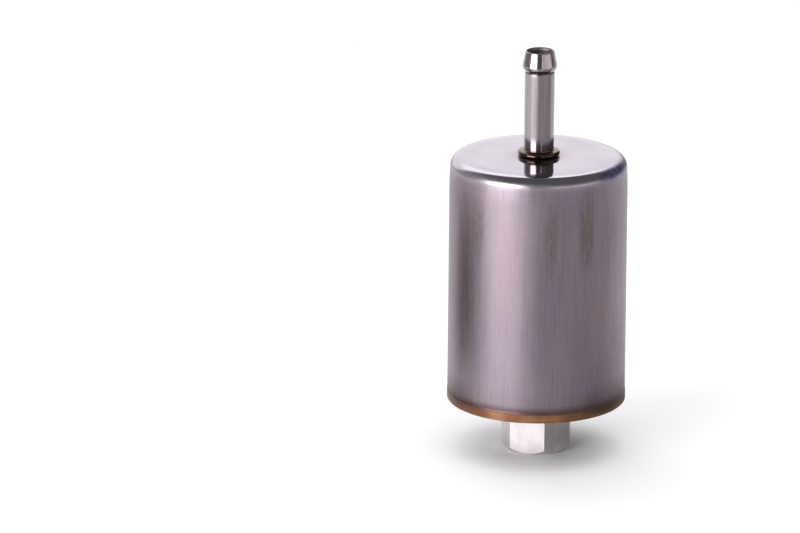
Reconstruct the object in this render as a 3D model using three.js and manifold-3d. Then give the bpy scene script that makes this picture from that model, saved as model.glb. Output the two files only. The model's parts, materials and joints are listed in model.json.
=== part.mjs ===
// In-line fuel filter with a pressed steel can: a threaded hex inlet fitting below, a hose stem above,
// and inside a pleated paper element that a spring holds up against its outlet seal.
// Millimetres, +Z up. The origin is the centre of the inlet fitting's open face, on which the filter stands.
import * as THREE from "three";
import { mergeVertices } from "three/addons/utils/BufferGeometryUtils.js";
import Module from "manifold-3d";

const wasm = await Module();
wasm.setup();

// ---- Driving dimensions ----------------------------------------------------------------------------

const RIM_Z = 16.3; // mouth edge of the can, above the inlet fitting's face
const CAN_TOP_Z = 93.5; // flat top of the can
const OVERALL_Z = 126.3; // end of the hose stem

const CAN = {
  radius: 27.2, // at the foot of the shoulder; the wall widens a little towards the mouth
  wallFootRadius: 27.38,
  mouthRadius: 27.5,
  mouthLength: 3,
  sheet: 0.55,
  flatRadius: 21.5,
  shoulderRadius: 26.95,
  shoulderDrop: 0.3,
  shoulderFillet: 3.3,
  shoulderLength: 8.3,
};
const COVER = {
  sheet: 0.5,
  skirtRadius: 26.6, // outside of the skirt, inside the can's mouth
  grooveDepth: 4.6, // from the rim to the groove's floor
  discRadius: 22.9,
  discDepth: 2.4,
  bossFoot: 13.5,
  bossTop: 10.6,
  bossDepth: 0.2,
};
const FITTING = {
  acrossFlats: 19,
  turn: THREE.MathUtils.degToRad(-17), // of the hex about +Z, from a corner on +X
  hexLength: 14.1,
  faceRadius: 9.1, // flat ring at the open end, inside the chamfer
  collarRadius: 9.95,
  spigotRadius: 7.5,
  spigotLength: 2,
};
const THREAD = { majorRadius: 8, minorRadius: 7.19, pitch: 1.5, turns: 7, mouthRadius: 8.5, drillDepth: 12.4 };
const PORT = { seatRadius: 6.2, passageRadius: 4.2 };
const STEM = {
  radius: 4.55,
  bore: 3.5,
  barbRadius: 5.2,
  barbZ: 121.6, // widest ring of the barb
  neckZ: 120,
  lipRadius: 4.15,
  beadRadius: 6.4,
  beadHeight: 1.6,
  nozzleRadius: 4.4, // the part inside the can, which the seal slides on
  nozzleEndZ: 82.3,
};
const ELEMENT = {
  capRadius: 23.3,
  capFlange: 3.5,
  capSheet: 0.5,
  topCapZ: 88.4, // upper face of the top cap
  bottomCapZ: 28.8, // lower face of the bottom cap
  potting: 1.45,
};
const PLEATS = { count: 40, outerRadius: 22.1, innerRadius: 9.2, paper: 0.4, tipWidth: 0.9, valleyWidth: 0.6 };
const TUBE = { radius: 8.5, wall: 0.5, holeRadius: 1.6, holeColumns: 6, holeRows: 5 };
const SEAL = { radius: 7.4, bore: 4.47, baseZ: 86.4, grooveRadius: 6.2 };
const STRAINER = { radius: 6.8, bore: 5.8, bottomZ: 70, flangeRadius: 7.3, mesh: 0.25 };
const SPRING = { meanRadius: 15.6, wire: 1.3, turns: 3.2 };
const SPIDER = { sheet: 0.8, innerRadius: 8, hubRadius: 18, reach: 26.2, arms: 6, armWidth: 5, tabHeight: 5 };
const SEAT = { innerRadius: 13.9, outerRadius: 17.6, sheet: 0.5, lip: 1 };

const GAP = 0.05; // clearance between touching pieces
const HEX_CORNER = FITTING.acrossFlats / Math.sqrt(3);

// Facets round a full turn: large shells, small rings, the hex fitting and one turn of thread.
const SHELL_FACETS = 40;
const RING_FACETS = 24;
const FITTING_FACETS = 36;
const THREAD_FACETS = 20;
const FILLET_STEPS = 2;

// ---- Materials -------------------------------------------------------------------------------------

const metal = (color, roughness) => new THREE.MeshStandardMaterial({ color, roughness, metalness: 1 });
const dull = (color, roughness) => new THREE.MeshStandardMaterial({ color, roughness, metalness: 0 });
const MATERIALS = {
  canSteel: metal(0xa79ca6, 0.34),
  coverSteel: metal(0xa99fac, 0.3),
  fittingSteel: metal(0xaea5a6, 0.36),
  stemSteel: metal(0xb3a7aa, 0.22),
  braze: metal(0xb06a3c, 0.35),
  pressedSteel: metal(0xb9b9bd, 0.4),
  springSteel: metal(0x77787c, 0.35),
  paper: dull(0xd9c48f, 0.9),
  potting: dull(0xc7772e, 0.6),
  rubber: dull(0x1d1d1f, 0.8),
  nylon: dull(0xe9e6da, 0.5),
};

// ---- Profiles --------------------------------------------------------------------------------------

// Turns corners [r, z, fillet radius] into points, with an arc at each corner that has a fillet.
function rounded(corners, steps = FILLET_STEPS) {
  const points = [];
  corners.forEach(([r, z, fillet = 0], i) => {
    const corner = new THREE.Vector2(r, z);
    if (!fillet) {
      points.push(corner);
      return;
    }
    const toPrevious = new THREE.Vector2(...corners[i - 1]).sub(corner).normalize();
    const toNext = new THREE.Vector2(...corners[i + 1]).sub(corner).normalize();
    const half = Math.acos(toPrevious.dot(toNext)) / 2;
    const centre = toPrevious.clone().add(toNext).normalize().multiplyScalar(fillet / Math.sin(half)).add(corner);
    const start = toPrevious.multiplyScalar(fillet / Math.tan(half)).add(corner).sub(centre);
    const end = toNext.multiplyScalar(fillet / Math.tan(half)).add(corner).sub(centre);
    const sweep = Math.atan2(start.cross(end), start.dot(end));
    for (let k = 0; k <= steps; k++)
      points.push(start.clone().rotateAround(new THREE.Vector2(), (sweep * k) / steps).add(centre));
  });
  return points;
}

// Moves a path sideways by distance, to the left of its direction, keeping straight runs parallel.
function offset(path, distance, closed = false) {
  const count = path.length;
  const normal = (a, b) => new THREE.Vector2(a.y - b.y, b.x - a.x).normalize();
  return path.map((point, i) => {
    const before = closed || i > 0 ? normal(path[(i - 1 + count) % count], point) : null;
    const after = closed || i < count - 1 ? normal(point, path[(i + 1) % count]) : null;
    const a = before ?? after;
    const b = after ?? before;
    const mitre = a.clone().add(b).normalize();
    return mitre.multiplyScalar(distance / mitre.dot(a)).add(point);
  });
}

// The closed profile of a pressed sheet whose outer face follows the corners.
const sheetProfile = (corners, thickness, steps) => {
  const outer = rounded(corners, steps);
  return [...outer, ...offset(outer, thickness).reverse()];
};

const rectangle = (inner, outer, low, high) => [
  [inner, low],
  [outer, low],
  [outer, high],
  [inner, high],
];

// ---- Solids ----------------------------------------------------------------------------------------

// Revolves a closed profile of [r, z] points about the Z axis.
function revolve(profile, facets = RING_FACETS) {
  const loop = profile.map((p) => (p.isVector2 ? p.clone() : new THREE.Vector2(p[0], p[1])));
  if (THREE.ShapeUtils.area(loop) < 0) loop.reverse();
  loop.push(loop[0].clone());
  return new THREE.LatheGeometry(loop, facets).rotateX(Math.PI / 2);
}

function toSolid(geometry) {
  const positions = new THREE.BufferGeometry();
  positions.setAttribute("position", geometry.getAttribute("position"));
  positions.setIndex(geometry.index);
  const merged = mergeVertices(positions, 1e-4);
  return new wasm.Manifold(
    new wasm.Mesh({
      numProp: 3,
      vertProperties: merged.attributes.position.array,
      triVerts: new Uint32Array(merged.index.array),
    }),
  );
}

function toGeometry(solid) {
  const mesh = solid.getMesh();
  const geometry = new THREE.BufferGeometry();
  geometry.setAttribute("position", new THREE.BufferAttribute(mesh.vertProperties, 3));
  geometry.setIndex(new THREE.BufferAttribute(mesh.triVerts, 1));
  geometry.computeVertexNormals();
  return geometry;
}

const union = (first, ...others) => others.reduce((sum, next) => sum.add(next), first);
const cut = (first, ...tools) => tools.reduce((rest, tool) => rest.subtract(tool), first);

const extrude = (shape, depth) => new THREE.ExtrudeGeometry(shape, { depth, bevelEnabled: false, curveSegments: 8 });

// A bar of the given geometry that crosses the Z axis at height z, turned by angle.
const crossing = (geometry, angle, z) => toSolid(geometry.clone().rotateZ(angle).translate(0, 0, z));

// The ridge of an external screw thread, as a closed helical wedge, used to cut an internal thread.
function threadCutter({ majorRadius, minorRadius, pitch, turns }, startZ) {
  const crestHalf = pitch / 16;
  const footRadius = minorRadius - 0.1;
  const footHalf = crestHalf + (majorRadius - footRadius) * Math.tan(Math.PI / 6);
  const section = [
    [footRadius, -footHalf],
    [majorRadius, -crestHalf],
    [majorRadius, crestHalf],
    [footRadius, footHalf],
  ];
  const steps = turns * THREAD_FACETS;
  const positions = [];
  for (let i = 0; i <= steps; i++) {
    const angle = (i / THREAD_FACETS) * 2 * Math.PI;
    const z = startZ + (i / THREAD_FACETS) * pitch;
    for (const [r, dz] of section) positions.push(r * Math.cos(angle), r * Math.sin(angle), z + dz);
  }
  const index = [0, 1, 2, 0, 2, 3];
  for (let i = 0; i < steps; i++)
    for (let k = 0; k < 4; k++) {
      const a = i * 4 + k;
      const b = i * 4 + ((k + 1) % 4);
      index.push(a, a + 4, b, b, a + 4, b + 4);
    }
  const last = steps * 4;
  index.push(last, last + 2, last + 1, last, last + 3, last + 2);
  const geometry = new THREE.BufferGeometry();
  geometry.setAttribute("position", new THREE.Float32BufferAttribute(positions, 3));
  geometry.setIndex(index);
  return toSolid(geometry);
}

class Helix extends THREE.Curve {
  constructor(radius, turns, lowZ, highZ) {
    super();
    Object.assign(this, { radius, turns, lowZ, highZ });
  }
  getPoint(t, target = new THREE.Vector3()) {
    const angle = t * this.turns * 2 * Math.PI;
    const z = this.lowZ + t * (this.highZ - this.lowZ);
    return target.set(this.radius * Math.cos(angle), this.radius * Math.sin(angle), z);
  }
}

// ---- Housing ---------------------------------------------------------------------------------------

// Deep-drawn can, closed above, with its mouth swaged out a little to take the end cover.
function can() {
  const stepZ = RIM_Z + CAN.mouthLength;
  const corners = [
    [STEM.radius + 0.15, CAN_TOP_Z],
    [CAN.flatRadius, CAN_TOP_Z],
    [CAN.shoulderRadius, CAN_TOP_Z - CAN.shoulderDrop, CAN.shoulderFillet],
    [CAN.radius, CAN_TOP_Z - CAN.shoulderLength],
    [CAN.wallFootRadius, stepZ + 0.3],
    [CAN.mouthRadius, stepZ],
    [CAN.mouthRadius, RIM_Z],
  ];
  return revolve(sheetProfile(corners, -CAN.sheet, 3), SHELL_FACETS);
}

// Pressed end cover: a skirt inside the can's mouth, a groove, a raised disc and a boss for the fitting.
function endCover() {
  const { sheet, skirtRadius, grooveDepth, discRadius, discDepth, bossFoot, bossTop, bossDepth } = COVER;
  const inner = skirtRadius - sheet;
  const depth = (d) => RIM_Z + d;
  const corners = [
    [inner, RIM_Z],
    [inner, depth(grooveDepth), 1.5],
    [discRadius, depth(grooveDepth), 0.7],
    [discRadius, depth(discDepth), 0.9],
    [bossFoot, depth(discDepth), 0.8],
    [bossTop, depth(bossDepth), 0.8],
    [FITTING.spigotRadius + 0.1, depth(bossDepth)],
  ];
  return revolve(sheetProfile(corners, -sheet, 1), SHELL_FACETS);
}

// Copper that fills the gap between the cover's skirt and the can's mouth, and rounds off the edge.
function rimBraze() {
  const inner = COVER.skirtRadius + GAP;
  const outer = CAN.mouthRadius - CAN.sheet - GAP;
  const low = RIM_Z - 0.2;
  const profile = [
    [inner, RIM_Z],
    [inner + 0.1, low],
    [outer - 0.1, low],
    [outer, RIM_Z],
    [outer, RIM_Z + CAN.mouthLength - 0.5],
    [inner, RIM_Z + CAN.mouthLength - 0.5],
  ];
  return revolve(profile, SHELL_FACETS);
}

// Hex inlet fitting: chamfered hex, round collar and a spigot through the cover, with a threaded port.
function inletFitting() {
  const { hexLength, faceRadius, collarRadius, spigotRadius, spigotLength } = FITTING;
  const chamfer = HEX_CORNER - faceRadius;
  const rearChamfer = HEX_CORNER - collarRadius;
  const collarEnd = RIM_Z + COVER.bossDepth - GAP;
  const hex = extrude(
    new THREE.Shape(
      Array.from({ length: 6 }, (_, i) => {
        const angle = (i * Math.PI) / 3;
        return new THREE.Vector2(HEX_CORNER * Math.cos(angle), HEX_CORNER * Math.sin(angle));
      }),
    ),
    hexLength,
  );
  const profile = [
    [0, 0],
    [faceRadius, 0],
    [HEX_CORNER + 0.01, chamfer + 0.01],
    [HEX_CORNER + 0.01, hexLength - rearChamfer - 0.01],
    [collarRadius, hexLength],
    [0, hexLength],
  ];
  const chamfered = revolve(profile, FITTING_FACETS);
  const collar = revolve([
    [0, hexLength - 1],
    [FITTING.acrossFlats / 2 - 0.3, hexLength - 1],
    [FITTING.acrossFlats / 2 - 0.3, hexLength - 0.02],
    [collarRadius, hexLength - 0.02],
    [collarRadius, collarEnd],
    [spigotRadius, collarEnd],
    [spigotRadius, collarEnd + spigotLength],
    [0, collarEnd + spigotLength],
  ]);
  const bore = revolve([
    [0, -1],
    [THREAD.mouthRadius + 1, -1],
    [THREAD.minorRadius, THREAD.mouthRadius - THREAD.minorRadius],
    [THREAD.minorRadius, THREAD.drillDepth],
    [PORT.seatRadius, THREAD.drillDepth + 1],
    [PORT.seatRadius, THREAD.drillDepth + 2.6],
    [PORT.passageRadius, THREAD.drillDepth + 3.6],
    [PORT.passageRadius, collarEnd + spigotLength + 1],
    [0, collarEnd + spigotLength + 1],
  ]);
  const body = union(toSolid(hex).intersect(toSolid(chamfered)), toSolid(collar));
  return toGeometry(cut(body, toSolid(bore), threadCutter(THREAD, -0.95)));
}

// Copper fillet where the fitting's collar meets the cover's boss.
function fittingBraze() {
  const foot = RIM_Z + COVER.bossDepth - GAP;
  const inner = FITTING.collarRadius + GAP;
  return revolve([
    [inner, foot],
    [inner, foot - 0.55],
    [inner + 0.2, foot - 0.3],
    [inner + 0.55, foot],
  ]);
}

// Hose stem: a tube with a barb at the end, a bead that sits on the can and a nozzle inside it.
function outletStem() {
  const { radius, bore, barbRadius, barbZ, neckZ, lipRadius, beadRadius, beadHeight, nozzleRadius, nozzleEndZ } = STEM;
  const beadZ = CAN_TOP_Z + 0.3;
  const outer = rounded([
    [bore, nozzleEndZ],
    [nozzleRadius, nozzleEndZ, 0.3],
    [nozzleRadius, CAN_TOP_Z - 0.55],
    [radius, CAN_TOP_Z - 0.4],
    [radius, beadZ],
    [beadRadius, beadZ, 0.7],
    [beadRadius, beadZ + beadHeight, 0.7],
    [radius, beadZ + beadHeight, 0.2],
    [radius, neckZ],
    [barbRadius, barbZ - 0.7, 0.4],
    [barbRadius, barbZ, 0.2],
    [lipRadius + 0.2, OVERALL_Z, 0.2],
    [bore + 0.3, OVERALL_Z],
    [bore, OVERALL_Z - 0.4],
  ]);
  return revolve(outer, RING_FACETS);
}

// Copper ring melted under the stem's bead.
const stemBraze = () => revolve(rectangle(STEM.radius + 0.1, 5.7, CAN_TOP_Z + GAP, CAN_TOP_Z + 0.3 - GAP));

// Pressed ring that keeps the spring centred on the cover.
function springSeat() {
  const { innerRadius, outerRadius, sheet, lip } = SEAT;
  const low = RIM_Z + COVER.discDepth + COVER.sheet + GAP;
  return revolve([
    [innerRadius, low],
    [outerRadius, low],
    [outerRadius, low + sheet + lip],
    [outerRadius - sheet, low + sheet + lip],
    [outerRadius - sheet, low + sheet],
    [innerRadius, low + sheet],
  ]);
}

function elementSpring() {
  const low = RIM_Z + COVER.discDepth + COVER.sheet + SEAT.sheet + 2 * GAP;
  const high = ELEMENT.bottomCapZ - SPIDER.sheet - 2 * GAP;
  const half = SPRING.wire / 2;
  const path = new Helix(SPRING.meanRadius, SPRING.turns, low + half + 0.1, high - half - 0.1);
  const wire = new THREE.Shape().absarc(0, 0, half, 0, 2 * Math.PI);
  const steps = Math.round(SPRING.turns * 16);
  return new THREE.ExtrudeGeometry(wire, { steps, curveSegments: 4, extrudePath: path });
}

// ---- Filter element --------------------------------------------------------------------------------

// Star-shaped spring plate with arms that reach to the can's wall and turn up to guide the element.
function centringSpider() {
  const { sheet, innerRadius, hubRadius, reach, arms, armWidth, tabHeight } = SPIDER;
  const low = ELEMENT.bottomCapZ - GAP - sheet;
  const hub = revolve(rectangle(innerRadius, hubRadius, low, low + sheet));
  const armLength = reach - hubRadius + 1;
  const pieces = [];
  for (let i = 0; i < arms; i++) {
    const arm = new THREE.BoxGeometry(armLength, armWidth, sheet)
      .translate(reach - armLength / 2, 0, low + sheet / 2)
      .rotateZ((i * 2 * Math.PI) / arms);
    const tab = new THREE.BoxGeometry(0.5, armWidth, tabHeight)
      .translate(reach - 0.25, 0, low + tabHeight / 2)
      .rotateZ((i * 2 * Math.PI) / arms);
    pieces.push(toSolid(arm), toSolid(tab));
  }
  return toGeometry(union(toSolid(hub), ...pieces));
}

function bottomCap() {
  const { capRadius, capFlange, capSheet, bottomCapZ } = ELEMENT;
  const corners = [
    [0, bottomCapZ],
    [capRadius, bottomCapZ, 0.9],
    [capRadius, bottomCapZ + capFlange],
  ];
  return revolve(sheetProfile(corners, capSheet), SHELL_FACETS);
}

function topCap() {
  const { capRadius, capFlange, capSheet, topCapZ } = ELEMENT;
  const corners = [
    [SEAL.grooveRadius + 0.1, topCapZ],
    [capRadius, topCapZ, 0.9],
    [capRadius, topCapZ - capFlange],
  ];
  return revolve(sheetProfile(corners, -capSheet), SHELL_FACETS);
}

const PACK_LOW = ELEMENT.bottomCapZ + ELEMENT.capSheet + ELEMENT.potting + 2 * GAP;
const PACK_HIGH = ELEMENT.topCapZ - ELEMENT.capSheet - ELEMENT.potting - 2 * GAP;

// Sealing compound that sets the end of the pleats and the centre tube in a cap.
function potting(low) {
  const inner = TUBE.radius - TUBE.wall - 0.1;
  return revolve(rectangle(inner, ELEMENT.capRadius - ELEMENT.capSheet - 0.4, low, low + ELEMENT.potting), SHELL_FACETS);
}

// One sheet of paper folded into a ring of radial pleats.
function pleatedMedia() {
  const { count, outerRadius, innerRadius, paper, tipWidth, valleyWidth } = PLEATS;
  const fold = [];
  for (let i = 0; i < count; i++) {
    const tip = (i * 2 * Math.PI) / count;
    const valley = tip + Math.PI / count;
    for (const [radius, angle, width] of [
      [outerRadius, tip, tipWidth],
      [innerRadius, valley, valleyWidth],
    ])
      for (const side of [-1, 1]) {
        const at = angle + (side * width) / 2 / radius;
        fold.push(new THREE.Vector2(radius * Math.cos(at), radius * Math.sin(at)));
      }
  }
  const shape = new THREE.Shape(offset(fold, -paper / 2, true));
  shape.holes.push(new THREE.Path(offset(fold, paper / 2, true)));
  return extrude(shape, PACK_HIGH - PACK_LOW).translate(0, 0, PACK_LOW);
}

// Folded steel strip that clamps the two ends of the paper where the ring closes.
function seamClip() {
  const [low, high] = [PACK_LOW + 0.3, PACK_HIGH - 0.3];
  const back = PLEATS.outerRadius + PLEATS.paper / 2 + 0.08;
  const front = back - 3;
  const [halfInner, halfOuter] = [0.72, 0.92];
  const section = [
    [front, halfInner],
    [back, halfInner],
    [back, -halfInner],
    [front, -halfInner],
    [front, -halfOuter],
    [back + 0.2, -halfOuter],
    [back + 0.2, halfOuter],
    [front, halfOuter],
  ];
  const shape = new THREE.Shape(section.map(([x, y]) => new THREE.Vector2(x, y)));
  return extrude(shape, high - low).translate(0, 0, low);
}

// Perforated steel tube that carries the pleats from inside.
function centreTube() {
  const { radius, wall, holeRadius, holeColumns, holeRows } = TUBE;
  const drill = new THREE.CylinderGeometry(holeRadius, holeRadius, 4 * radius, 8).rotateZ(Math.PI / 2);
  const pitch = (PACK_HIGH - PACK_LOW) / (holeRows + 1);
  const holes = [];
  for (let row = 1; row <= holeRows; row++)
    for (let column = 0; column < holeColumns / 2; column++) {
      const angle = ((column + (row % 2) / 2) * 2 * Math.PI) / holeColumns;
      holes.push(crossing(drill, angle, PACK_LOW + row * pitch));
    }
  const tube = toSolid(revolve(rectangle(radius - wall, radius, PACK_LOW, PACK_HIGH)));
  return toGeometry(cut(tube, ...holes));
}

// Rubber grommet held in the top cap, which slides on the stem's nozzle and seals against the can.
function outletSeal() {
  const { radius, bore, baseZ, grooveRadius } = SEAL;
  const capLow = ELEMENT.topCapZ - ELEMENT.capSheet - GAP;
  const capHigh = ELEMENT.topCapZ + GAP;
  const top = CAN_TOP_Z - CAN.sheet - GAP;
  return revolve([
    [bore, baseZ],
    [radius, baseZ],
    [radius, capLow],
    [grooveRadius, capLow],
    [grooveRadius, capHigh],
    [radius, capHigh],
    [radius, top - 0.8],
    [radius - 0.8, top],
    [bore, top],
  ]);
}

// Moulded cage below the seal, closed at its foot, with windows for the gauze.
function strainerFrame() {
  const { radius, bore, bottomZ, flangeRadius } = STRAINER;
  const top = SEAL.baseZ - GAP;
  const cup = revolve([
    [0, bottomZ],
    [radius, bottomZ],
    [radius, top - 1],
    [flangeRadius, top - 1],
    [flangeRadius, top],
    [bore, top],
    [bore, bottomZ + 1],
    [0, bottomZ + 1],
  ]);
  const window = new THREE.BoxGeometry(4 * radius, 4.2, 5.4);
  const windows = [];
  for (const z of [bottomZ + 4.7, bottomZ + 11.2])
    for (let i = 0; i < 3; i++) windows.push(crossing(window, (i * Math.PI) / 3, z));
  return toGeometry(cut(toSolid(cup), ...windows));
}

// Nylon gauze sleeve round the cage.
function strainerMesh() {
  const inner = STRAINER.radius + GAP;
  return revolve(rectangle(inner, inner + STRAINER.mesh, STRAINER.bottomZ + 0.6, SEAL.baseZ - 1.4));
}

// ---- Assembly --------------------------------------------------------------------------------------

function part(name, geometry, material) {
  const mesh = new THREE.Mesh(geometry, material);
  mesh.name = name;
  return mesh;
}

const fitting = part("inlet_fitting", inletFitting(), MATERIALS.fittingSteel);
fitting.rotation.z = FITTING.turn;

const housing = new THREE.Group();
housing.add(
  part("can", can(), MATERIALS.canSteel),
  part("end_cover", endCover(), MATERIALS.coverSteel),
  part("rim_braze", rimBraze(), MATERIALS.braze),
  fitting,
  part("fitting_braze", fittingBraze(), MATERIALS.braze),
  part("outlet_stem", outletStem(), MATERIALS.stemSteel),
  part("stem_braze", stemBraze(), MATERIALS.braze),
  part("spring_seat", springSeat(), MATERIALS.pressedSteel),
  part("element_spring", elementSpring(), MATERIALS.springSteel),
);

const element = new THREE.Group();
element.add(
  part("centring_spider", centringSpider(), MATERIALS.pressedSteel),
  part("bottom_cap", bottomCap(), MATERIALS.pressedSteel),
  part("bottom_potting", potting(ELEMENT.bottomCapZ + ELEMENT.capSheet + GAP), MATERIALS.potting),
  part("pleated_media", pleatedMedia(), MATERIALS.paper),
  part("seam_clip", seamClip(), MATERIALS.pressedSteel),
  part("centre_tube", centreTube(), MATERIALS.pressedSteel),
  part("top_potting", potting(PACK_HIGH + GAP), MATERIALS.potting),
  part("top_cap", topCap(), MATERIALS.pressedSteel),
  part("outlet_seal", outletSeal(), MATERIALS.rubber),
  part("strainer_frame", strainerFrame(), MATERIALS.nylon),
  part("strainer_mesh", strainerMesh(), MATERIALS.nylon),
);

const filter = new THREE.Group();
filter.add(housing, element);

export default filter;
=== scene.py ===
"""In-line fuel filter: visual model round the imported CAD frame.

Metres, +Z up, camera towards +Y. Lengths in this file are in millimetres unless they say otherwise, and
MM turns them into metres.
"""
import json
import math

import bmesh
import bpy
from mathutils import Matrix, Vector


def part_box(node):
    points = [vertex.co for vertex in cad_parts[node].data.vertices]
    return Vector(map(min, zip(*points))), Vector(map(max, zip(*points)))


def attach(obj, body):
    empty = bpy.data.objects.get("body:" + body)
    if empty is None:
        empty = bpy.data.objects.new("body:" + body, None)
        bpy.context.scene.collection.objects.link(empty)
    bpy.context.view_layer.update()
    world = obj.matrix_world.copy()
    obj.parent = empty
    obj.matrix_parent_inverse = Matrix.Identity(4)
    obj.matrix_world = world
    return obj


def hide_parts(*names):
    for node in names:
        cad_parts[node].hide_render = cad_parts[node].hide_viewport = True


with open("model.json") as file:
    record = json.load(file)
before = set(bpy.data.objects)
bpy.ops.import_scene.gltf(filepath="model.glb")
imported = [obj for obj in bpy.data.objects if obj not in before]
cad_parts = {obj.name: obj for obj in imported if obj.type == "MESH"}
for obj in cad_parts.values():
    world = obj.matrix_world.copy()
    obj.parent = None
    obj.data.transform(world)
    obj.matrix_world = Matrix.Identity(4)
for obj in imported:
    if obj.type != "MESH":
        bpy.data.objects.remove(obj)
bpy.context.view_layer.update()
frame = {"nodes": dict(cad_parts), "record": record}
MM = 0.001

# ---- Sizes, in millimetres, from the CAD model ---------------------------------------------------


def node_box(name):
    low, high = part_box(name)
    return low / MM, high / MM


can_low, can_high = node_box("can")
stem_low, stem_high = node_box("outlet_stem")

RIM_Z, CAN_TOP_Z = can_low.z, can_high.z
MOUTH_R = can_high.x
CAN_R, WALL_FOOT_R = 27.2, 27.4
BAND_Z = RIM_Z + 3.0  # upper edge of the widened, heat-tinted mouth
SHEET, COVER_SHEET = 0.55, 0.5
SKIRT_R = node_box("end_cover")[1].x
STEM_R, STEM_BORE = 4.55, 3.8
HEX_FLATS, HEX_LENGTH = 19.0, 14.1
HEX_CORNER = HEX_FLATS / math.sqrt(3)
HEX_TURN = math.radians(-17)
COLLAR_R = 9.95
STEM_TOP = stem_high.z
NECK_Z = STEM_TOP - 6.3  # groove under the barb
THREAD_MAJOR, THREAD_MINOR, THREAD_PITCH, THREAD_DEPTH = 8.02, 7.19, 1.5, 12.4

# ---- Mesh tools ----------------------------------------------------------------------------------


def rounded(corners, steps=6):
    """Corners (r, z, fillet radius) as points, with an arc at each corner that has a fillet."""
    points = []
    for i, (r, z, *fillet) in enumerate(corners):
        corner = Vector((r, z))
        if not fillet or not fillet[0]:
            points.append(corner)
            continue
        before = (Vector(corners[i - 1][:2]) - corner).normalized()
        after = (Vector(corners[i + 1][:2]) - corner).normalized()
        half = before.angle(after) / 2
        centre = corner + (before + after).normalized() * fillet[0] / math.sin(half)
        start = corner + before * fillet[0] / math.tan(half) - centre
        end = corner + after * fillet[0] / math.tan(half) - centre
        sweep = start.angle_signed(end)
        for k in range(steps + 1):
            turn = Matrix.Rotation(-sweep * k / steps, 2)
            points.append(centre + turn @ start)
    return points


def offset(path, distance):
    """The path moved sideways by distance, to the left of its direction."""
    moved = []
    for i, point in enumerate(path):
        normals = []
        for a, b in ((i - 1, i), (i, i + 1)):
            if a >= 0 and b < len(path):
                along = path[b] - path[a]
                normals.append(Vector((-along.y, along.x)).normalized())
        mitre = sum(normals, Vector((0, 0))).normalized()
        moved.append(point + mitre * distance / mitre.dot(normals[0]))
    return moved


def sheet(corners, thickness, steps=6):
    outer = rounded(corners, steps)
    return outer + offset(outer, thickness)[::-1]


def new_object(name, bm, sharp=35.0):
    bmesh.ops.recalc_face_normals(bm, faces=bm.faces)
    mesh = bpy.data.meshes.new(name)
    bm.to_mesh(mesh)
    bm.free()
    mesh.shade_smooth()
    mesh.set_sharp_from_angle(angle=math.radians(sharp))
    obj = bpy.data.objects.new(name, mesh)
    bpy.context.scene.collection.objects.link(obj)
    return obj


def add_grid(bm, rows, closed=False):
    """Quads between rows of vertices, each row a full turn. closed joins the last row to the first."""
    count = len(rows[0])
    pairs = list(zip(rows, rows[1:]))
    if closed:
        pairs.append((rows[-1], rows[0]))
    for low, high in pairs:
        for i in range(count):
            j = (i + 1) % count
            bm.faces.new((low[i], low[j], high[j], high[i]))


def ring(bm, radius, z, segments):
    """A row of vertices round the axis. radius and z may be functions of the angle."""
    verts = []
    for i in range(segments):
        angle = 2 * math.pi * i / segments
        r = radius(angle) if callable(radius) else radius
        height = z(angle) if callable(z) else z
        verts.append(bm.verts.new((r * MM * math.cos(angle), r * MM * math.sin(angle), height * MM)))
    return verts


def lathe(name, profile, segments=192, closed=True, sharp=35.0):
    bm = bmesh.new()
    add_grid(bm, [ring(bm, p[0], p[1], segments) for p in profile], closed)
    return new_object(name, bm, sharp)


def applied(obj):
    """Replaces the object's mesh by its mesh with the modifiers applied."""
    depsgraph = bpy.context.evaluated_depsgraph_get()
    mesh = bpy.data.meshes.new_from_object(obj.evaluated_get(depsgraph), depsgraph=depsgraph)
    obj.modifiers.clear()
    obj.data = mesh
    return obj


def combine(obj, tool, operation):
    modifier = obj.modifiers.new("cut", "BOOLEAN")
    modifier.object = tool
    modifier.operation = operation
    modifier.solver = "EXACT"
    bpy.context.view_layer.update()
    applied(obj)
    bpy.data.objects.remove(tool)
    return obj


def joined(name, objects):
    bm = bmesh.new()
    for obj in objects:
        bm.from_mesh(obj.data)
        bpy.data.objects.remove(obj)
    mesh = bpy.data.meshes.new(name)
    bm.to_mesh(mesh)
    bm.free()
    obj = bpy.data.objects.new(name, mesh)
    bpy.context.scene.collection.objects.link(obj)
    return obj


# ---- Node tools ----------------------------------------------------------------------------------


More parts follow.
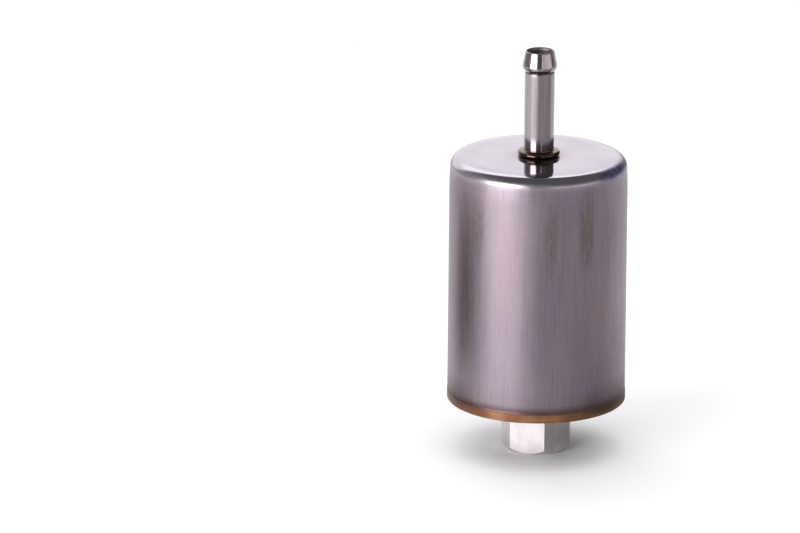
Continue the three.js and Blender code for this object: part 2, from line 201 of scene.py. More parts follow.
class Surface:
    """A node material with short calls for the nodes it needs."""

    def __init__(self, name):
        self.material = bpy.data.materials.new(name)
        self.material.use_nodes = True
        self.tree = self.material.node_tree
        self.tree.nodes.clear()
        self.shader = self.node("ShaderNodeBsdfPrincipled")
        output = self.node("ShaderNodeOutputMaterial")
        self.tree.links.new(self.shader.outputs[0], output.inputs["Surface"])
        coordinates = self.node("ShaderNodeTexCoord")
        scaled = self.node("ShaderNodeVectorMath", operation="SCALE")
        self.tree.links.new(coordinates.outputs["Object"], scaled.inputs[0])
        scaled.inputs["Scale"].default_value = 1 / MM
        self.place = scaled.outputs[0]
        split = self.node("ShaderNodeSeparateXYZ")
        self.tree.links.new(self.place, split.inputs[0])
        self.x, self.y, self.z = split.outputs
        self._radius = None

    def node(self, kind, **settings):
        made = self.tree.nodes.new(kind)
        for key, value in settings.items():
            setattr(made, key, value)
        return made

    def feed(self, socket, value):
        if isinstance(value, bpy.types.NodeSocket):
            self.tree.links.new(value, socket)
        elif value is not None:
            socket.default_value = value

    def math(self, operation, a, b=None, c=None):
        made = self.node("ShaderNodeMath", operation=operation)
        for socket, value in zip(made.inputs, (a, b, c)):
            self.feed(socket, value)
        return made.outputs[0]

    @property
    def radius(self):
        if self._radius is None:
            x_squared = self.math("MULTIPLY", self.x, self.x)
            y_squared = self.math("MULTIPLY", self.y, self.y)
            self._radius = self.math("SQRT", self.math("ADD", x_squared, y_squared))
        return self._radius

    @property
    def azimuth(self):
        """Degrees round the axis, 0 at the front and positive to the right."""
        return self.math("DEGREES", self.math("ARCTAN2", self.x, self.math("MULTIPLY", self.y, -1.0)))

    def fade(self, value, start, end, low=0.0, high=1.0):
        """Runs smoothly from low to high as value goes from start to end."""
        made = self.node("ShaderNodeMapRange", interpolation_type="SMOOTHSTEP")
        if start > end:
            start, end, low, high = end, start, high, low
        for key, number in (("From Min", start), ("From Max", end), ("To Min", low), ("To Max", high)):
            made.inputs[key].default_value = number
        self.feed(made.inputs["Value"], value)
        return made.outputs["Result"]

    def band(self, value, centre, half, soft):
        """1 within half of the centre, falling to 0 over soft."""
        away = self.math("ABSOLUTE", self.math("SUBTRACT", value, centre))
        return self.fade(away, half + soft, half)

    def patch(self, azimuth, z, half_angle, half_height, strength, breakup):
        """A soft oval mark on the wall, broken up by a noise."""
        across = self.math("DIVIDE", self.math("SUBTRACT", self.azimuth, azimuth), half_angle)
        along = self.math("DIVIDE", self.math("SUBTRACT", self.z, z), half_height)
        squares = self.math("ADD", self.math("MULTIPLY", across, across), self.math("MULTIPLY", along, along))
        oval = self.fade(squares, 1.6, 0.0)
        return self.math("MULTIPLY", self.math("MULTIPLY", oval, strength), self.math("ADD", breakup, 0.35))

    def noise(self, stretch=(1, 1, 1), scale=1.0, detail=4.0, rough=0.5, seed=0.0, low=0.3, high=0.7):
        """Noise at scale per millimetre, stretched, and spread from 0 to 1 between low and high."""
        mapping = self.node("ShaderNodeMapping")
        self.tree.links.new(self.place, mapping.inputs["Vector"])
        mapping.inputs["Scale"].default_value = stretch
        mapping.inputs["Location"].default_value = (seed, seed * 0.37, seed * 0.71)
        made = self.node("ShaderNodeTexNoise")
        self.tree.links.new(mapping.outputs[0], made.inputs["Vector"])
        made.inputs["Scale"].default_value = scale
        made.inputs["Detail"].default_value = detail
        made.inputs["Roughness"].default_value = rough
        return self.fade(made.outputs["Fac"], low, high)

    def mix(self, amount, a, b, blend="MIX"):
        made = self.node("ShaderNodeMix", data_type="RGBA", blend_type=blend)
        self.feed(made.inputs[0], amount)
        for socket, value in ((made.inputs[6], a), (made.inputs[7], b)):
            self.feed(socket, (*value, 1) if isinstance(value, tuple) and len(value) == 3 else value)
        return made.outputs[2]

    def bump(self, height, distance, strength=1.0, normal=None):
        made = self.node("ShaderNodeBump")
        made.inputs["Distance"].default_value = distance * MM
        made.inputs["Strength"].default_value = strength
        self.feed(made.inputs["Height"], height)
        if normal is not None:
            self.feed(made.inputs["Normal"], normal)
        return made.outputs[0]

    def finish(self, colour, roughness, metallic=1.0, normal=None, **sockets):
        for key, value in (("Base Color", colour), ("Roughness", roughness), ("Metallic", metallic)):
            value = (*value, 1) if isinstance(value, tuple) and len(value) == 3 else value
            self.feed(self.shader.inputs[key], value)
        if normal is not None:
            self.feed(self.shader.inputs["Normal"], normal)
        for key, value in sockets.items():
            self.feed(self.shader.inputs[key.replace("_", " ")], value)
        return self.material


# ---- Materials -----------------------------------------------------------------------------------


def can_material():
    """Drawn steel: a satin wall with upright lines and stains, a smoother top and a heat-tinted mouth. Two
    dark marks on the wall's left are partly stain and partly a painted reflection, and painted shade darkens
    the mouth's halo and band at the sides.
    """
    s = Surface("can_steel")
    wall = s.fade(s.z, CAN_TOP_Z - 1.2, CAN_TOP_Z - 5.0)
    streak = s.noise((1, 1, 0.012), 1.5, 3, 0.6, 3, 0.25, 0.75)
    fine = s.noise((1, 1, 0.02), 3.4, 3, 0.65, 11, 0.3, 0.7)
    dark_line = s.noise((1, 1, 0.015), 2.4, 2, 0.6, 12, 0.56, 0.72)
    grain = s.noise((1, 1, 0.45), 2.2, 4, 0.7, 14)
    cloud = s.noise((1, 1, 0.22), 0.14, 3, 0.5, 5.5, 0.38, 0.62)
    olive = s.noise((1, 1, 0.25), 0.20, 3, 0.55, 27, 0.45, 0.68)
    breakup = s.noise((1, 1, 0.35), 0.8, 5, 0.65, 8.4, 0.3, 0.7)

    steel = s.mix(cloud, (0.262, 0.204, 0.262), (0.304, 0.246, 0.290))
    steel = s.mix(s.math("MULTIPLY", olive, 0.55), steel, (0.285, 0.238, 0.232))
    steel = s.mix(s.math("MULTIPLY", streak, 0.30), steel, (0.330, 0.288, 0.330))
    # Brown and pink stains: azimuth in degrees, height, half angle, half height and strength. The dark marks
    # at azimuth -43 and -56 are partly stain and partly a painted reflection of a dark object at the filter's
    # left.
    for azimuth, z, half_angle, half_height, strength in (
        (7, 74, 4.5, 12, 0.65),
        (31, 76, 6, 14, 0.68),
        (52, 72, 9, 12, 0.35),
        # Partly stain, partly painted reflection: the next two dark marks.
        (-43, 76, 6, 9, 0.62),
        (-56, 58, 10, 26, 0.62),
        (70, 34, 20, 14, 0.35),
        (118, 60, 16, 22, 0.55),
        (-150, 48, 22, 20, 0.50),
        (165, 76, 14, 9, 0.45),
    ):
        mark = s.patch(azimuth, z, half_angle, half_height, strength, breakup)
        steel = s.mix(mark, steel, (0.165, 0.125, 0.105))
    for azimuth, z, half_angle, half_height in (
        (-66, 62, 7, 16),
        (-22, 66, 9, 20),
        (44, 48, 9, 16),
        (-120, 66, 20, 16),
    ):
        mark = s.patch(azimuth, z, half_angle, half_height, 0.4, breakup)
        steel = s.mix(mark, steel, (0.370, 0.262, 0.250))
    steel = s.mix(s.math("MULTIPLY", fine, 0.30), steel, (0.38, 0.335, 0.37))
    steel = s.mix(s.math("MULTIPLY", dark_line, 0.32), steel, (0.14, 0.11, 0.14))
    steel = s.mix(s.math("MULTIPLY", grain, 0.20), steel, (0.17, 0.13, 0.16))

    # Heat tint plus painted shade: the halo above the mouth is darker at the left and right sides than at the
    # lit front.
    off_front = s.math("ABSOLUTE", s.math("ADD", s.azimuth, 12.0))
    side_shade = s.math("MULTIPLY", s.fade(off_front, 22, 60), s.fade(off_front, 165, 130))
    heat_halo_and_side_shade = s.fade(s.z, BAND_Z + 9.0, BAND_Z + 0.5)
    heat_halo_and_side_shade = s.math("MULTIPLY", heat_halo_and_side_shade, s.noise((1, 1, 0.2), 0.09, 2, 0.5, 33, 0.1, 0.6))
    heat_halo_and_side_shade = s.math("MULTIPLY", heat_halo_and_side_shade, s.math("MULTIPLY_ADD", side_shade, 0.50, 0.30))
    steel = s.mix(heat_halo_and_side_shade, steel, (0.100, 0.072, 0.064))
    halo = s.fade(s.z, BAND_Z + 2.6, BAND_Z - 0.1)
    steel = s.mix(s.math("MULTIPLY", halo, 0.85), steel, (0.085, 0.048, 0.040))
    gold = s.mix(s.noise((1, 1, 1), 0.12, 3, 0.5, 2), (0.215, 0.094, 0.046), (0.41, 0.215, 0.112))
    lines = s.noise((0.03, 0.03, 1), 2.2, 3, 0.6, 15)
    gold = s.mix(s.math("MULTIPLY", lines, 0.5), gold, (0.13, 0.062, 0.042))
    gold = s.mix(s.fade(s.z, BAND_Z - 1.0, BAND_Z - 0.4, 0.0, 0.4), gold, (0.12, 0.06, 0.05))
    # Painted shade: the gold band is darker at the sides.
    burnt_and_side_shade = s.math("MULTIPLY", side_shade, s.fade(s.z, RIM_Z + 0.5, RIM_Z + 1.8, 0.25, 0.85))
    gold = s.mix(burnt_and_side_shade, gold, (0.100, 0.055, 0.048))
    steel = s.mix(s.fade(s.z, BAND_Z + 0.1, BAND_Z - 0.7), steel, gold)

    top = s.mix(s.noise((1, 1, 1), 0.12, 3, 0.5, 4), (0.430, 0.385, 0.445), (0.475, 0.430, 0.485))
    stain = s.noise((1, 1, 1), 0.35, 5, 0.65, 21, 0.5, 0.75)
    top = s.mix(s.math("MULTIPLY", stain, 0.22), top, (0.34, 0.29, 0.32))
    top = s.mix(s.math("MULTIPLY", s.fade(s.radius, 12.5, 6.0), 0.4), top, (0.36, 0.27, 0.25))
    worn = s.math("MULTIPLY", s.fade(s.azimuth, 28, 60), s.fade(s.radius, 22.5, 25.0))
    tint = s.patch(62, CAN_TOP_Z - 2.0, 20, 3.5, 0.95, s.noise((1, 1, 1), 0.5, 3, 0.6, 61))
    tint = s.math("MULTIPLY", tint, s.fade(s.radius, 24.5, 26.2))
    top = s.mix(tint, top, (0.15, 0.13, 0.33))
    colour = s.mix(wall, top, steel)

    rough = s.math("ADD", s.math("MULTIPLY", streak, 0.05), s.math("MULTIPLY", breakup, 0.04))
    wall_rough = s.math("ADD", rough, s.fade(s.z, CAN_TOP_Z - 2.0, CAN_TOP_Z - 9.0, 0.30, 0.37))
    top_rough = s.math("ADD", s.math("MULTIPLY", s.noise((1, 1, 1), 0.4, 4, 0.6, 6), 0.03), 0.065)
    top_rough = s.math("MULTIPLY_ADD", s.fade(s.radius, 9.0, 7.2), 0.22, top_rough)
    top_rough = s.math("MULTIPLY_ADD", s.fade(s.z, CAN_TOP_Z - 0.35, CAN_TOP_Z - 0.8), 0.09, top_rough)
    top_rough = s.math("MULTIPLY_ADD", worn, 0.28, top_rough)
    blend = s.node("ShaderNodeMix", data_type="FLOAT")
    s.feed(blend.inputs[0], s.fade(s.z, CAN_TOP_Z - 0.9, CAN_TOP_Z - 2.6))
    s.feed(blend.inputs[2], top_rough)
    s.feed(blend.inputs[3], wall_rough)
    height = s.math("MULTIPLY", fine, s.math("MULTIPLY", wall, s.fade(s.z, BAND_Z - 0.5, BAND_Z + 0.5)))
    normal = s.bump(height, 0.010, 0.6)
    normal = s.bump(s.noise((1, 1, 0.4), 0.09, 3, 0.5, 14, 0.2, 0.8), 0.06, 0.5, normal)
    return s.finish(colour, blend.outputs[0], normal=normal)


def cover_material():
    s = Surface("cover_steel")
    soft = s.noise((1, 1, 1), 0.18, 4, 0.55, 7)
    colour = s.mix(soft, (0.40, 0.36, 0.41), (0.48, 0.43, 0.48))
    stain = s.noise((1, 1, 1), 0.5, 5, 0.65, 17, 0.5, 0.75)
    colour = s.mix(s.math("MULTIPLY", stain, 0.3), colour, (0.33, 0.26, 0.26))
    colour = s.mix(s.math("MULTIPLY", s.fade(s.radius, 23.0, 25.6), 0.85), colour, (0.19, 0.135, 0.09))
    colour = s.mix(s.math("MULTIPLY", s.fade(s.radius, 13.5, 10.6), 0.35), colour, (0.40, 0.29, 0.24))
    rough = s.math("ADD", s.math("MULTIPLY", stain, 0.12), 0.24)
    normal = s.bump(s.noise((1, 1, 1), 0.10, 2, 0.4, 9, 0.2, 0.8), 0.10, 0.5)
    return s.finish(colour, rough, normal=normal)


def fitting_material():
    s = Surface("fitting_steel")
    soft = s.noise((1, 1, 0.6), 0.35, 4, 0.55, 13)
    colour = s.mix(soft, (0.61, 0.565, 0.580), (0.69, 0.645, 0.660))
    speck = s.noise((1, 1, 1), 1.6, 5, 0.7, 19, 0.52, 0.8)
    colour = s.mix(s.math("MULTIPLY", speck, 0.28), colour, (0.36, 0.31, 0.33))
    collar = s.fade(s.z, HEX_LENGTH - 1.2, HEX_LENGTH + 0.4)
    colour = s.mix(s.math("MULTIPLY", collar, 0.85), colour, (0.16, 0.11, 0.09))
    # Painted shade: the bore and its thread are darkened as a recess.
    bore_painted_shade = s.fade(s.radius, 8.3, 7.3)
    colour = s.mix(s.math("MULTIPLY", bore_painted_shade, 0.25), colour, (0.40, 0.31, 0.36))
    lathe_lines = s.noise((0.02, 0.02, 1), 9.0, 2, 0.6, 23)
    rough = s.math("ADD", s.math("MULTIPLY", speck, 0.06), 0.48)
    normal = s.bump(lathe_lines, 0.008, 0.35)
    return s.finish(colour, rough, normal=normal)


def stem_material():
    s = Surface("stem_steel")
    soft = s.noise((1, 1, 0.03), 1.3, 4, 0.6, 31)
    colour = s.mix(soft, (0.295, 0.250, 0.270), (0.385, 0.340, 0.360))
    foot = s.fade(s.z, CAN_TOP_Z + 6.5, CAN_TOP_Z + 2.0)
    colour = s.mix(s.math("MULTIPLY", foot, 0.45), colour, (0.20, 0.15, 0.14))
    bead = s.fade(s.z, CAN_TOP_Z + 2.7, CAN_TOP_Z + 2.0)
    # The bead has a dark braze tint, painted lighter on its upper side as a highlight and darker below as
    # shade.
    bead_lit_top = s.fade(s.z, CAN_TOP_Z + 1.0, CAN_TOP_Z + 1.7)
    bead_tint_and_shade = s.mix(bead_lit_top, (0.060, 0.034, 0.026), (0.150, 0.098, 0.080))
    colour = s.mix(s.math("MULTIPLY", bead, 0.95), colour, bead_tint_and_shade)
    # Painted shadow: the groove under the barb is darkened.
    neck_shadow = s.band(s.z, NECK_Z, 0.15, 0.5)
    colour = s.mix(s.math("MULTIPLY", neck_shadow, 0.6), colour, (0.12, 0.08, 0.08))
    bore = s.fade(s.radius, STEM_BORE + 0.2, STEM_BORE + 0.02)
    colour = s.mix(s.math("MULTIPLY", bore, 0.8), colour, (0.34, 0.28, 0.31))
    lines = s.noise((1, 1, 0.01), 6.0, 2, 0.6, 37)
    rough = s.math("ADD", s.math("MULTIPLY", soft, 0.04), s.math("MULTIPLY_ADD", bore, 0.35, 0.135))
    normal = s.bump(lines, 0.004, 0.4)
    return s.finish(colour, rough, normal=normal)


def braze_material():
    s = Surface("copper_braze")
    mottled = s.noise((1, 1, 1), 0.8, 5, 0.6, 41)
    colour = s.mix(mottled, (0.26, 0.125, 0.06), (0.42, 0.235, 0.115))
    dark = s.noise((1, 1, 1), 0.3, 3, 0.5, 43, 0.5, 0.7)
    colour = s.mix(s.math("MULTIPLY", dark, 0.5), colour, (0.17, 0.10, 0.07))
    # Painted shade: above 60 mm, on the stem's braze ring under the bead, the braze is made near-black.
    colour = s.mix(s.fade(s.z, 60, 61), colour, (0.085, 0.042, 0.026))
    rough = s.math("ADD", s.math("MULTIPLY", mottled, 0.12), 0.26)
    return s.finish(colour, rough, normal=s.bump(mottled, 0.03, 0.5))


def plain_steel(name, light, roughness, seed):
    s = Surface(name)
    soft = s.noise((1, 1, 1), 0.5, 4, 0.55, seed)
    dark = tuple(c * 0.8 for c in light)
    colour = s.mix(soft, dark, light)
    rough = s.math("ADD", s.math("MULTIPLY", soft, 0.08), roughness)
    return s.finish(colour, rough, normal=s.bump(s.noise((1, 1, 1), 2.5, 4, 0.6, seed + 3), 0.01, 0.4))


def paper_material():
    s = Surface("filter_paper")
    fibre = s.noise((1, 1, 0.5), 3.0, 6, 0.7, 51)
    colour = s.mix(fibre, (0.72, 0.58, 0.32), (0.86, 0.75, 0.50))
    return s.finish(colour, 0.85, 0.0, s.bump(fibre, 0.05, 0.6))


def matt_material(name, dark, light, roughness, seed, grain=0.6):
    s = Surface(name)
    mottled = s.noise((1, 1, 1), grain, 5, 0.6, seed)
    return s.finish(s.mix(mottled, dark, light), roughness, 0.0, s.bump(mottled, 0.03, 0.5))


def gauze_material():
    s = Surface("strainer_nylon_gauze")
    angle = s.math("ARCTAN2", s.y, s.x)
    warp = s.math("SINE", s.math("MULTIPLY", angle, 180.0))
    weft = s.math("SINE", s.math("MULTIPLY", s.z, 2 * math.pi / 0.24))
    weave = s.math("ADD", s.math("MULTIPLY", s.math("MULTIPLY", warp, weft), 0.5), 0.5)
    colour = s.mix(weave, (0.45, 0.43, 0.37), (0.86, 0.84, 0.78))
    return s.finish(colour, 0.55, 0.0, s.bump(weave, 0.04, 0.7))


MATERIALS = {
    "can_steel": can_material(),
    "cover_steel": cover_material(),
    "fitting_steel": fitting_material(),
    "stem_steel": stem_material(),
    "copper_braze": braze_material(),
    "pressed_steel": plain_steel("pressed_steel", (0.58, 0.58, 0.60), 0.34, 61),
    "spring_steel": plain_steel("spring_steel", (0.34, 0.34, 0.36), 0.30, 67),
    "filter_paper": paper_material(),
    "potting_compound": matt_material("potting_compound", (0.50, 0.22, 0.05), (0.70, 0.36, 0.10), 0.55, 71),
    "seal_rubber": matt_material("seal_rubber", (0.010, 0.010, 0.011), (0.030, 0.030, 0.032), 0.75, 73),
    "strainer_nylon": matt_material("strainer_nylon", (0.70, 0.68, 0.60), (0.84, 0.82, 0.76), 0.45, 79),
}
GAUZE = gauze_material()


def place(obj, slot, *nodes, material=None):
    weighted = obj.modifiers.new("normals", "WEIGHTED_NORMAL")
    weighted.keep_sharp = True
    applied(obj)
    obj.data.materials.clear()
    obj.data.materials.append(material or MATERIALS[slot])
    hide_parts(*nodes)
    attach(obj, "root")
    return obj


# ---- Housing -------------------------------------------------------------------------------------

can = lathe(
    "can_shell",
    sheet(
        [
            (STEM_R + 0.05, CAN_TOP_Z),
            (11.0, CAN_TOP_Z),
            (21.5, CAN_TOP_Z, 20),
            (26.95, CAN_TOP_Z - 0.3, 3.3),
            (CAN_R, CAN_TOP_Z - 8.3, 60),
            (WALL_FOOT_R, BAND_Z + 0.35, 0.3),
            (WALL_FOOT_R + 0.05, BAND_Z + 0.15, 0.08),
            (WALL_FOOT_R + 0.01, BAND_Z, 0.06),
            (MOUTH_R, BAND_Z - 0.25, 0.2),
            (MOUTH_R, RIM_Z + 0.22, 0.2),
            (MOUTH_R - 0.22, RIM_Z),
        ],
        -SHEET,
    ),
    segments=256,
)
place(can, "can_steel", "can")

skirt_in = SKIRT_R - COVER_SHEET
cover = lathe(
    "end_cover_dish",
    sheet(
        [
            (skirt_in, RIM_Z + 0.1),
            (skirt_in, RIM_Z + 4.6, 1.4),
            (22.9, RIM_Z + 4.6, 0.8),
            (22.9, RIM_Z + 2.4, 0.9),
            (13.5, RIM_Z + 2.4, 1.6),
            (10.9, RIM_Z + 0.2, 0.9),
            (COLLAR_R + 0.02, RIM_Z + 0.2),
        ],
        -COVER_SHEET,
    ),
    segments=224,
)
place(cover, "cover_steel", "end_cover")

seam_in, seam_out = SKIRT_R + 0.02, MOUTH_R - SHEET - 0.02
seam = lathe(
    "rim_seam",
    rounded(
        [
            (seam_in, RIM_Z + 2.0),
            (seam_in, RIM_Z - 0.05, 0.08),
            ((seam_in + seam_out) / 2, RIM_Z - 0.2, 0.2),
            (seam_out, RIM_Z - 0.05, 0.08),
            (seam_out, RIM_Z + 2.0),
        ]
    ),
    segments=224,
)
place(seam, "copper_braze", "rim_braze")

# ---- Inlet fitting -------------------------------------------------------------------------------

FACE_R, MOUTH_CONE_R, BODY_SEGMENTS = 9.1, 8.55, 240


def hex_body():
    bm = bmesh.new()
    low, high = [], []
    for i in range(6):
        angle = HEX_TURN + i * math.pi / 3
        at = (HEX_CORNER * MM * math.cos(angle), HEX_CORNER * MM * math.sin(angle))
        low.append(bm.verts.new((*at, -1 * MM)))
        high.append(bm.verts.new((*at, (HEX_LENGTH + 1) * MM)))
    add_grid(bm, [low, high])
    bm.faces.new(low)
    bm.faces.new(high)
    prism = new_object("hex", bm)
    chamfer = HEX_CORNER - FACE_R
    rear = HEX_CORNER - COLLAR_R
    bm = bmesh.new()
    rows = [
        ring(bm, r, z, BODY_SEGMENTS)
        for r, z in (
            (FACE_R, 0),
            (HEX_CORNER + 0.5, chamfer + 0.5),
            (HEX_CORNER + 0.5, HEX_LENGTH - rear - 0.5),
            (COLLAR_R, HEX_LENGTH),
        )
    ]
    add_grid(bm, rows)
    bm.faces.new(rows[0])
    bm.faces.new(rows[-1])
    limits = new_object("limits", bm)
    body = combine(prism, limits, "INTERSECT")
    bm = bmesh.new()
    bm.from_mesh(body.data)
    ends = [f for f in bm.faces if abs(f.normal.z) > 0.999]
    bmesh.ops.delete(bm, geom=ends, context="FACES_ONLY")
    bm.to_mesh(body.data)
    bm.free()
    bevel = body.modifiers.new("edges", "BEVEL")
    bevel.width = 0.16 * MM
    bevel.segments = 3
    bevel.limit_method = "ANGLE"
    bevel.angle_limit = math.radians(24)
    return applied(body)


def thread_radius(z, angle):
    """Wall radius of the right-hand internal thread, with its countersunk mouth and its run-out."""
    phase = (z / THREAD_PITCH - angle / (2 * math.pi)) % 1.0
    away = abs(phase - 0.5) * THREAD_PITCH
    flank = THREAD_MINOR + (away - THREAD_PITCH / 8) * math.sqrt(3) * 0.98
    r = min(max(flank, THREAD_MINOR), THREAD_MAJOR)
    runout = min(max((THREAD_DEPTH - 1.2 - z) / 0.8, 0.0), 1.0)
    r = THREAD_MINOR + (r - THREAD_MINOR) * runout
    return max(r, MOUTH_CONE_R - z)


def bore_wall():
    bm = bmesh.new()
    rows = [ring(bm, FACE_R, 0, BODY_SEGMENTS), ring(bm, MOUTH_CONE_R + 0.06, 0, BODY_SEGMENTS)]
    count = int(THREAD_DEPTH / 0.055)
    for k in range(count + 1):
        z = 0.05 + (THREAD_DEPTH - 0.05) * k / count
        rows.append(ring(bm, lambda angle, z=z: thread_radius(z, angle), z, BODY_SEGMENTS))
    for r, z in (
        (6.25, THREAD_DEPTH + 0.9),
        (6.2, THREAD_DEPTH + 2.6),
        (4.2, THREAD_DEPTH + 3.5),
        (4.2, 18.4),
        (7.45, 18.45),
        (7.5, RIM_Z + 0.72),
    ):
        rows.append(ring(bm, r, z, BODY_SEGMENTS))
    add_grid(bm, rows)
    return new_object("bore", bm, 28)


collar = lathe(
    "collar",
    rounded(
        [
            (7.5, RIM_Z + 0.9),
            (COLLAR_R, RIM_Z + 0.9),
            (COLLAR_R, HEX_LENGTH - 0.02, 0.12),
            (8.8, HEX_LENGTH - 0.02),
        ]
    ),
    segments=BODY_SEGMENTS,
    closed=False,
)
fitting = joined("inlet_hex_fitting", [hex_body(), bore_wall(), collar])
bm = bmesh.new()
bm.from_mesh(fitting.data)
bmesh.ops.remove_doubles(bm, verts=bm.verts, dist=0.002 * MM)
bmesh.ops.recalc_face_normals(bm, faces=bm.faces)
bm.to_mesh(fitting.data)
bm.free()
fitting.data.shade_smooth()
fitting.data.set_sharp_from_angle(angle=math.radians(28))
place(fitting, "fitting_steel", "inlet_fitting")

foot_z = RIM_Z + 0.2
fillet = lathe(
    "fitting_fillet",
    [(COLLAR_R, foot_z + 0.1), (COLLAR_R, foot_z - 0.7)]
    + [
        (COLLAR_R + 0.72 - 0.7 * math.cos(a), foot_z - 0.72 + 0.7 * math.sin(a))
        for a in (math.pi / 2 * k / 8 for k in range(9))
    ]
    + [(COLLAR_R + 0.75, foot_z + 0.1)],
    segments=160,
)
place(fillet, "copper_braze", "fitting_braze")

# ---- Hose stem -----------------------------------------------------------------------------------

bead_z = CAN_TOP_Z + 0.1
stem = lathe(
    "hose_stem",
    rounded(
        [
            (STEM_BORE - 0.35, stem_low.z),
            (4.4, stem_low.z, 0.3),
            (4.4, CAN_TOP_Z - 1.0),
            (STEM_R, CAN_TOP_Z - 0.9),
            (STEM_R, bead_z),
            (6.45, bead_z, 0.8),
            (6.45, bead_z + 1.65, 0.8),
            (STEM_R, bead_z + 1.65, 0.35),
            (STEM_R, NECK_Z - 1.5, 4),
            (STEM_R - 0.03, NECK_Z - 0.35, 0.3),
            (STEM_R - 0.22, NECK_Z - 0.08, 0.12),
            (STEM_R - 0.12, NECK_Z + 0.1, 0.1),
            (5.12, NECK_Z + 0.95, 0.5),
            (5.24, NECK_Z + 1.75, 0.8),
            (4.34, STEM_TOP, 0.3),
            (STEM_BORE + 0.25, STEM_TOP, 0.1),
            (STEM_BORE, STEM_TOP - 0.6, 0.5),
            (STEM_BORE, stem_low.z + 8),
            (STEM_BORE - 0.35, stem_low.z + 7.6),
        ],
        5,
    ),
    segments=128,
    sharp=50,
)
place(stem, "stem_steel", "outlet_stem")

bead_ring = lathe(
    "stem_bead_braze",
    rounded(
        [
            (STEM_R + 0.02, CAN_TOP_Z + 0.45),
            (STEM_R + 0.02, CAN_TOP_Z + 0.01),
            (5.9, CAN_TOP_Z + 0.01),
            (5.6, CAN_TOP_Z + 0.12, 0.2),
            (5.5, CAN_TOP_Z + 0.45),
        ]
    ),
    segments=128,
)
place(bead_ring, "copper_braze", "stem_braze")

# ---- Inside --------------------------------------------------------------------------------------

REPLACED = {"can", "end_cover", "rim_braze", "inlet_fitting", "fitting_braze", "outlet_stem", "stem_braze"}
slots = {part["node"]: part["material_slot"] for part in frame["record"]["subparts"]}
for name in [n for n in frame["nodes"] if n not in REPLACED]:
    obj = frame["nodes"][name]
    material = GAUZE if name == "strainer_mesh" else MATERIALS[slots[name]]
    if not obj.material_slots:
        obj.data.materials.append(material)
    for material_slot in obj.material_slots:
        material_slot.material = material

# ---- Studio --------------------------------------------------------------------------------------


def camera():
    """Looks along +Y and down, with the rim's centre at the given right, down and forward distances."""
    pitch, lean = math.radians(16.75), math.radians(0.26)
    right_mm, down_mm, forward_mm = 41.954, 39.901, 1698.2
    tilt = math.asin(math.sin(lean) / math.cos(pitch))
    forward = Vector((0, math.cos(pitch), -math.sin(pitch)))
    level_up = Vector((0, math.sin(pitch), math.cos(pitch)))
    right = math.cos(tilt) * Vector((1, 0, 0)) + math.sin(tilt) * level_up
    up = right.cross(forward)
    data = bpy.data.cameras.new("camera")
    focal_length, image_width, sensor = 5500, 800, 36  # the first two in pixels
    data.sensor_width = sensor
    data.lens = focal_length / image_width * sensor
    data.clip_start, data.clip_end = 0.1, 50
    obj = bpy.data.objects.new("camera", data)
    bpy.context.scene.collection.objects.link(obj)
    centre = Vector((0, 0, RIM_Z))
    eye = (centre - right * right_mm + up * down_mm - forward * forward_mm) * MM
    obj.matrix_world = Matrix.Translation(eye) @ Matrix((right, up, -forward)).transposed().to_4x4()
    bpy.context.scene.camera = obj


def softbox(name, azimuth, distance, width, low, high, radiance, mirrored=True):
    """A panel facing the axis, in metres; azimuth 0 is the camera's side and grows to its right.

    It stands upright between two heights, or lies flat at one height and shines down if both are the same.
    """
    a = math.radians(azimuth)
    data = bpy.data.lights.new(name, "AREA")
    data.shape = "RECTANGLE"
    obj = bpy.data.objects.new(name, data)
    bpy.context.scene.collection.objects.link(obj)
    if low == high:
        data.size = data.size_y = width
        obj.location = (math.sin(a) * distance, -math.cos(a) * distance, high)
    else:
        data.size, data.size_y = width, high - low
        obj.location = (math.sin(a) * distance, -math.cos(a) * distance, (low + high) / 2)
        obj.rotation_euler = Vector((math.sin(a), -math.cos(a), 0)).to_track_quat("Z", "Y").to_euler()
    data.energy = radiance * math.pi * data.size * data.size_y
    obj.visible_camera = False
    obj.visible_glossy = mirrored


def floor():
    bm = bmesh.new()
    rows = [ring(bm, r * 1000, 0, 96) for r in (0.05, 0.3, 1, 3, 8, 20)]
    add_grid(bm, rows)
    bm.faces.new(rows[0])
    obj = new_object("floor", bm)
    s = Surface("floor_paint")
    grain = s.noise((1, 1, 1), 0.02, 3, 0.5, 91)
    obj.data.materials.append(s.finish(s.mix(grain, (0.80, 0.80, 0.805), (0.82, 0.82, 0.825)), 0.9, 0.0))


def backdrop():
    """A white cove past the lit floor, for the camera only: metal and floor don't see it."""
    bm = bmesh.new()
    near, far, above_floor, top = 500, 4500, 0.6, 4000
    profile = rounded([(near, above_floor), (far, above_floor, 1500), (far, top)], 12)
    add_grid(bm, [ring(bm, p[0], p[1], 96) for p in profile])
    obj = new_object("backdrop", bm)
    s = Surface("backdrop_white")
    black, white = (0.0, 0.0, 0.0), (1.0, 1.0, 1.0, 1.0)
    glow = s.fade(s.radius, 600, 1600, 1.0, 0.72)
    obj.data.materials.append(s.finish(black, 1.0, 0.0, Emission_Color=white, Emission_Strength=glow))
    obj.visible_diffuse = obj.visible_glossy = obj.visible_shadow = obj.visible_transmission = False


def seen_in_metal_only(obj):
    """For cards that only shape the reflections."""
    obj.visible_camera = obj.visible_diffuse = obj.visible_shadow = obj.visible_transmission = False


def floor_sector(name, radii, start, end):
    """A flat piece of ring just above the floor, between two azimuths."""
    steps, above_floor = 48, 0.4
    bm = bmesh.new()
    rows = []
    for r in radii:
        row = []
        for k in range(steps + 1):
            a = math.radians(start + (end - start) * k / steps)
            row.append(bm.verts.new((r * MM * math.sin(a), -r * MM * math.cos(a), above_floor * MM)))
        rows.append(row)
    for low, high in zip(rows, rows[1:]):
        for i in range(steps):
            bm.faces.new((low[i], low[i + 1], high[i + 1], high[i]))
    return new_object(name, bm)


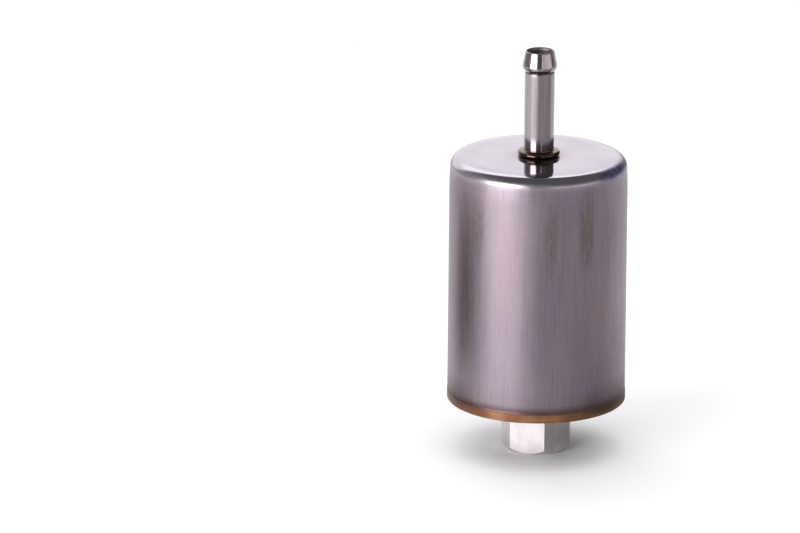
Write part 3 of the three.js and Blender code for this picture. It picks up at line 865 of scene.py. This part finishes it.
def hexagon_cards():
    """A bright sheet on the floor before the hexagon's front flat and a dark one at its right."""
    bright = floor_sector("bright_card", (14, 45), -62, 4)
    s = Surface("bright_card_paint")
    glow = s.math("MULTIPLY", s.fade(s.radius, 44, 30), 0.45)
    paint = s.finish((0.8, 0.8, 0.8), 0.9, 0.0, Emission_Color=(1, 1, 1, 1), Emission_Strength=glow)
    bright.data.materials.append(paint)
    seen_in_metal_only(bright)
    dark = floor_sector("dark_card", (14, 75), 12, 140)
    s = Surface("dark_card_paint")
    edge = s.fade(s.azimuth, 22, 55)
    colour = s.mix(edge, (0.80, 0.80, 0.805), (0.16, 0.16, 0.165))
    dark.data.materials.append(s.finish(colour, 0.9, 0.0))
    seen_in_metal_only(dark)


def floor_card():
    """A grey sheet on the floor at the front and right, as the dim side of the studio."""
    obj = floor_sector("floor_card", (75, 200, 600, 4000), -30, 115)
    s = Surface("card_paint")
    edge = s.math("MULTIPLY", s.fade(s.azimuth, -28, -8), s.fade(s.azimuth, 115, 80))
    colour = s.mix(edge, (0.80, 0.80, 0.805), (0.34, 0.34, 0.345))
    obj.data.materials.append(s.finish(colour, 0.9, 0.0))
    seen_in_metal_only(obj)


def dark_block():
    """A low dark block on the filter's left."""
    bm = bmesh.new()
    bmesh.ops.create_cube(bm, size=1)
    bmesh.ops.scale(bm, vec=(45 * MM, 95 * MM, 50 * MM), verts=bm.verts)
    bmesh.ops.translate(bm, vec=(-130 * MM, 2 * MM, 25 * MM), verts=bm.verts)
    obj = new_object("dark_block", bm)
    s = Surface("block_paint")
    mottled = s.noise((1, 1, 1), 0.05, 3, 0.5, 97)
    obj.data.materials.append(s.finish(s.mix(mottled, (0.10, 0.075, 0.07), (0.19, 0.15, 0.145)), 0.9, 0.0))
    seen_in_metal_only(obj)


def sky():
    """A dim room with one broad soft glow, behind the filter, above it and a little to the left."""
    world = bpy.data.worlds.new("studio")
    bpy.context.scene.world = world
    world.use_nodes = True
    tree = world.node_tree
    background = tree.nodes["Background"]
    coordinates = tree.nodes.new("ShaderNodeTexCoord")
    split = tree.nodes.new("ShaderNodeSeparateXYZ")
    tree.links.new(coordinates.outputs["Generated"], split.inputs[0])

    def fade(value, start, end):
        made = tree.nodes.new("ShaderNodeMapRange")
        made.interpolation_type = "SMOOTHSTEP"
        made.inputs["From Min"].default_value = start
        made.inputs["From Max"].default_value = end
        tree.links.new(value, made.inputs["Value"])
        return made.outputs["Result"]

    def math_node(operation, a, b):
        made = tree.nodes.new("ShaderNodeMath")
        made.operation = operation
        for socket, value in zip(made.inputs, (a, b)):
            if isinstance(value, bpy.types.NodeSocket):
                tree.links.new(value, socket)
            else:
                socket.default_value = value
        return made.outputs[0]

    lamp = Vector((-0.22, 0.92, 0.36)).normalized()
    axis = [math_node("MULTIPLY", split.outputs[i], lamp[i]) for i in range(3)]
    nearness = math_node("ADD", math_node("ADD", axis[0], axis[1]), axis[2])
    glow = math_node("MULTIPLY", fade(nearness, 0.75, 0.85), 1.15)
    overhead = math_node("MULTIPLY", fade(split.outputs["Z"], 0.36, 0.6), fade(nearness, 0.77, 0.87))
    left = math_node("MULTIPLY", fade(math_node("MULTIPLY", split.outputs["X"], -1.0), 0.5, 0.95), 0.25)
    lamp_glow = math_node("ADD", glow, math_node("MULTIPLY", overhead, 0.7))
    strength = math_node("ADD", lamp_glow, math_node("ADD", left, 0.15))
    tree.links.new(strength, background.inputs["Strength"])
    background.inputs["Color"].default_value = (0.985, 0.985, 1.0, 1)


camera()
floor()
backdrop()
floor_card()
hexagon_cards()
dark_block()
sky()
softbox("key_left", -46, 1.0, 0.76, 0.03, 0.48, 8.8)
softbox("fill_right", 51, 1.0, 1.50, 0.02, 0.29, 1.15)
softbox("strip_right", 17, 1.3, 0.06, 0.02, 0.55, 2.6)
softbox("wash", 0, 0.15, 2.8, 1.6, 1.6, 1.80, mirrored=False)

scene = bpy.context.scene
scene.view_settings.view_transform = "Standard"
scene.view_settings.look = "None"
scene.view_settings.exposure = 0
scene.view_settings.gamma = 1
